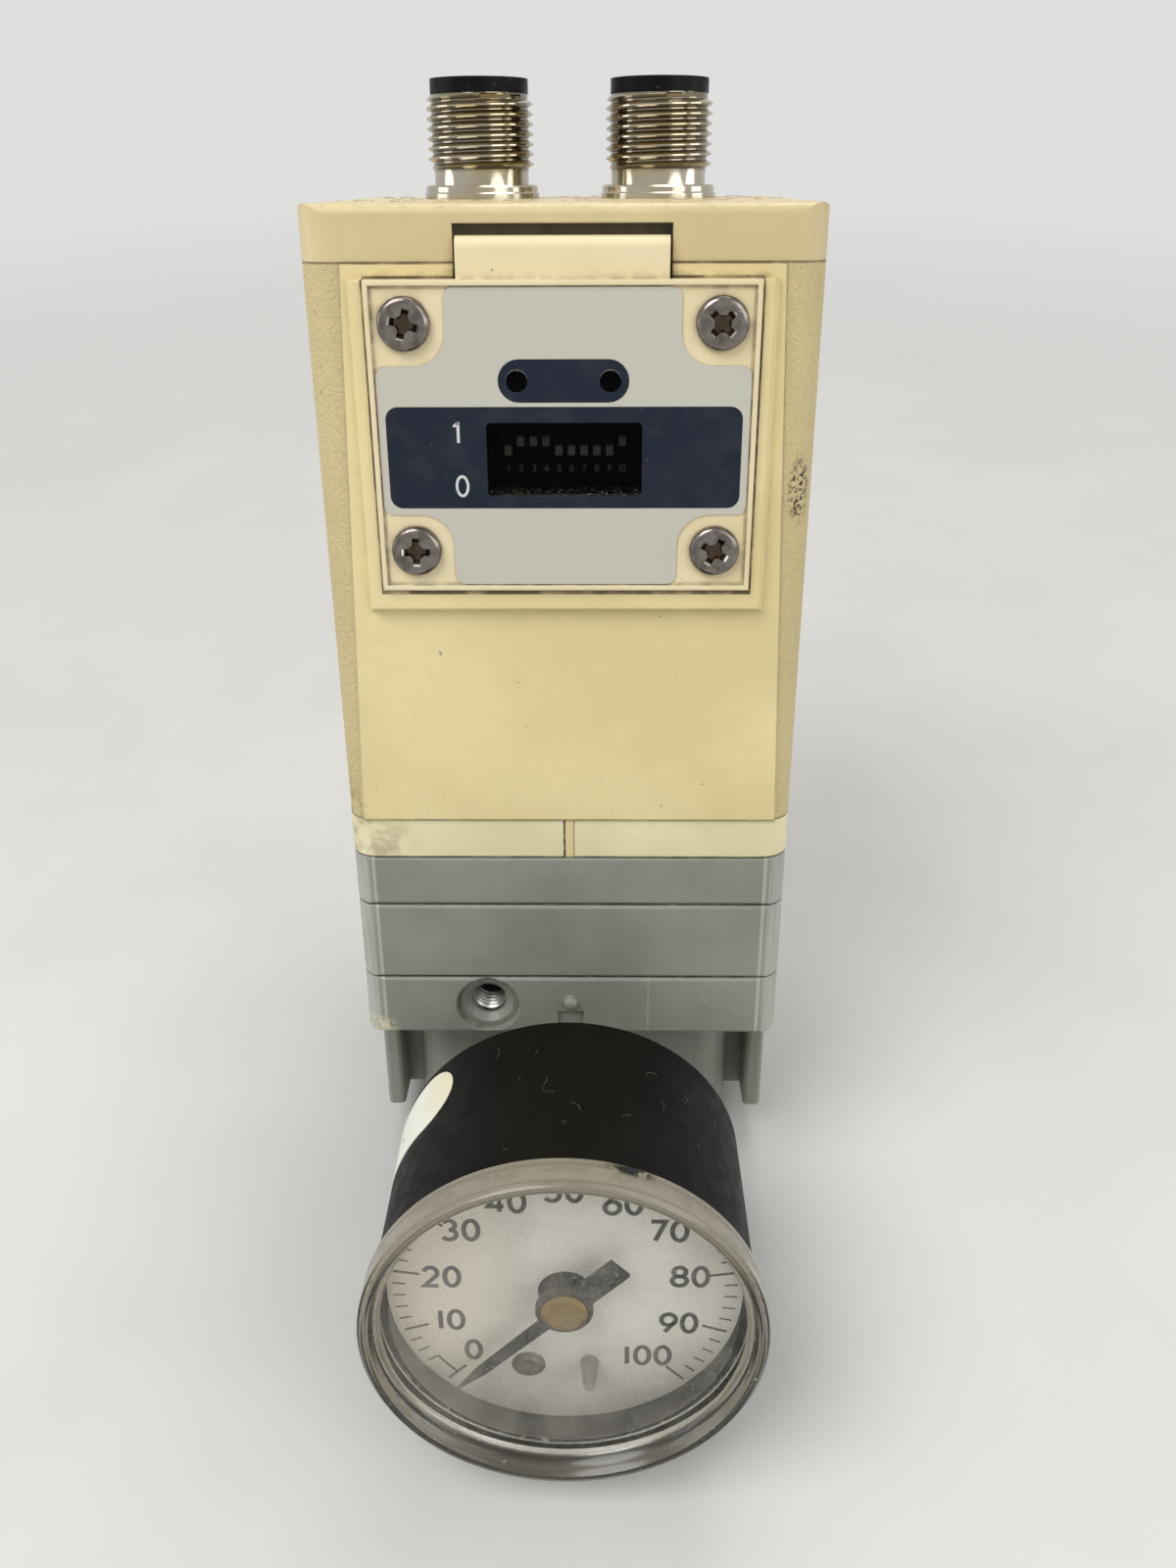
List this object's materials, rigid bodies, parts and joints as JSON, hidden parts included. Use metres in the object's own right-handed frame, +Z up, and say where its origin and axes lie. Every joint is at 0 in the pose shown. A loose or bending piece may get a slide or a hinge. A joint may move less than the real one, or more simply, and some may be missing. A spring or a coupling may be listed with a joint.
{
  "type": "electro-pneumatic regulator",
  "caption": "Square-bodied electro-pneumatic pressure regulator: cast port block, cream electronics cover with switch window, round bus connectors on top and a dial gauge in front.",
  "frame": {"origin": "centre of the port block's bottom face, in the middle of its bracket holes", "axes": "+X to the outlet side, -Y to the gauge and the switch cover, +Z up to the bus connectors"},
  "size_m": [0.05, 0.0886, 0.1338],
  "materials": {
    "cast_gray": "gray paint on die-cast aluminium, semi-matt",
    "band_cream": "moulded, fine grain",
    "cover_cream": "moulded, smooth front panel and grained corners",
    "cap_tan": "moulded, satin",
    "plate_cream": "moulded, satin",
    "label_film": "printed film, satin",
    "dark_window": "dark tinted, glossy",
    "dark_nickel": "dull nickel",
    "zinc_steel": "bright zinc",
    "nickel_brass": "nickel plate",
    "black_plastic": "moulded, matt",
    "gold_contact": "gold plate",
    "board_green": "coated board",
    "lever_white": "moulded",
    "led_clear": "clear resin",
    "coil_dark": "coil in a steel yoke",
    "bare_aluminium": "machined",
    "black_rubber": "matt",
    "turned_brass": "turned",
    "black_paint": "matt black",
    "clear_lens": "clear, scuffed",
    "dial_white": "printed, matt",
    "stop_plastic": "translucent",
    "pointer_black": "matt black"
  },
  "bodies": {
    "housing": {"port_body": "cast_gray", "mid_body": "cast_gray", "pilot_body": "cast_gray", "base_plate": "band_cream", "cover": "cover_cream", "cap": "cap_tan", "switch_cover": "plate_cream", "front_label": "label_film", "window_pane": "dark_window", "indicator_lenses": "dark_window", "cover_screws": "dark_nickel", "stack_screws": "zinc_steel", "valve_spring": "zinc_steel", "dial_rivet": "zinc_steel", "left_connector_shell": "nickel_brass", "right_connector_shell": "nickel_brass", "connector_nuts": "nickel_brass", "left_connector_insert": "black_plastic", "right_connector_insert": "black_plastic", "dip_switch_body": "black_plastic", "left_connector_pins": "gold_contact", "right_connector_pins": "gold_contact", "control_board": "board_green", "switch_board": "board_green", "status_leds": "led_clear", "supply_solenoid": "coil_dark", "exhaust_solenoid": "coil_dark", "pressure_sensor": "bare_aluminium", "pilot_diaphragm": "black_rubber", "feedback_diaphragm": "black_rubber", "guide_seal": "black_rubber", "valve_guide": "turned_brass", "gauge_stem": "turned_brass", "bourdon_tube": "turned_brass", "movement_frame": "turned_brass", "gauge_case": "black_paint", "gauge_lens": "clear_lens", "gauge_dial": "dial_white", "stop_pin": "stop_plastic"},
    "pointer": {"gauge_pointer": "pointer_black", "pointer_hub": "turned_brass", "pinion_shaft": "turned_brass"},
    "sector": {"sector_gear": "turned_brass"},
    "link": {"movement_link": "zinc_steel"},
    "main_valve": {"diaphragm_hub": "bare_aluminium", "valve_poppet": "turned_brass"},
    "supply_armature": {"supply_plunger": "zinc_steel"},
    "exhaust_armature": {"exhaust_plunger": "zinc_steel"},
    "switch_1": {"dip_lever_1": "lever_white"},
    "switch_2": {"dip_lever_2": "lever_white"},
    "switch_3": {"dip_lever_3": "lever_white"},
    "switch_4": {"dip_lever_4": "lever_white"},
    "switch_5": {"dip_lever_5": "lever_white"},
    "switch_6": {"dip_lever_6": "lever_white"},
    "switch_7": {"dip_lever_7": "lever_white"},
    "switch_8": {"dip_lever_8": "lever_white"},
    "switch_9": {"dip_lever_9": "lever_white"},
    "switch_10": {"dip_lever_10": "lever_white"}
  },
  "joints": [
    {"name": "pointer_turn", "type": "hinge", "parent": "housing", "child": "pointer", "pos_m": [0, -0.059, 0.0095], "axis": [0, 1, 0], "range_deg": [0, 270], "stiffness_Nm_per_rad": 0.0002},
    {"name": "sector_turn", "type": "hinge", "parent": "housing", "child": "sector", "pos_m": [0, -0.0485, -0.00175], "axis": [0, 1, 0], "range_deg": [-33.75, 0]},
    {"name": "link_turn", "type": "hinge", "parent": "sector", "child": "link", "pos_m": [0.00354, -0.0485, -0.00529], "axis": [0, 1, 0], "range_deg": [0, 33.75]},
    {"name": "valve_open", "type": "slide", "parent": "housing", "child": "main_valve", "axis": [0, 0, -1], "range_m": [0, 0.0012], "stiffness_N_per_m": 3000, "springref_m": -0.001, "deforming": ["valve_spring", "pilot_diaphragm", "feedback_diaphragm"]},
    {"name": "supply_plunger_lift", "type": "slide", "parent": "housing", "child": "supply_armature", "axis": [0, 0, 1], "range_m": [0, 0.0006], "stiffness_N_per_m": 1500, "springref_m": -0.001},
    {"name": "exhaust_plunger_lift", "type": "slide", "parent": "housing", "child": "exhaust_armature", "axis": [0, 0, 1], "range_m": [0, 0.0006], "stiffness_N_per_m": 1500, "springref_m": -0.001},
    {"name": "switch_1_slide", "type": "slide", "parent": "housing", "child": "switch_1", "axis": [0, 0, 1], "range_m": [0, 0.0009]},
    {"name": "switch_2_slide", "type": "slide", "parent": "housing", "child": "switch_2", "axis": [0, 0, -1], "range_m": [0, 0.0009]},
    {"name": "switch_3_slide", "type": "slide", "parent": "housing", "child": "switch_3", "axis": [0, 0, -1], "range_m": [0, 0.0009]},
    {"name": "switch_4_slide", "type": "slide", "parent": "housing", "child": "switch_4", "axis": [0, 0, -1], "range_m": [0, 0.0009]},
    {"name": "switch_5_slide", "type": "slide", "parent": "housing", "child": "switch_5", "axis": [0, 0, 1], "range_m": [0, 0.0009]},
    {"name": "switch_6_slide", "type": "slide", "parent": "housing", "child": "switch_6", "axis": [0, 0, 1], "range_m": [0, 0.0009]},
    {"name": "switch_7_slide", "type": "slide", "parent": "housing", "child": "switch_7", "axis": [0, 0, 1], "range_m": [0, 0.0009]},
    {"name": "switch_8_slide", "type": "slide", "parent": "housing", "child": "switch_8", "axis": [0, 0, 1], "range_m": [0, 0.0009]},
    {"name": "switch_9_slide", "type": "slide", "parent": "housing", "child": "switch_9", "axis": [0, 0, 1], "range_m": [0, 0.0009]},
    {"name": "switch_10_slide", "type": "slide", "parent": "housing", "child": "switch_10", "axis": [0, 0, -1], "range_m": [0, 0.0009]}
  ],
  "couplings": [
    {"joint": "sector_turn", "follows": "pointer_turn", "ratio": -0.125},
    {"joint": "link_turn", "follows": "pointer_turn", "ratio": 0.125}
  ]
}
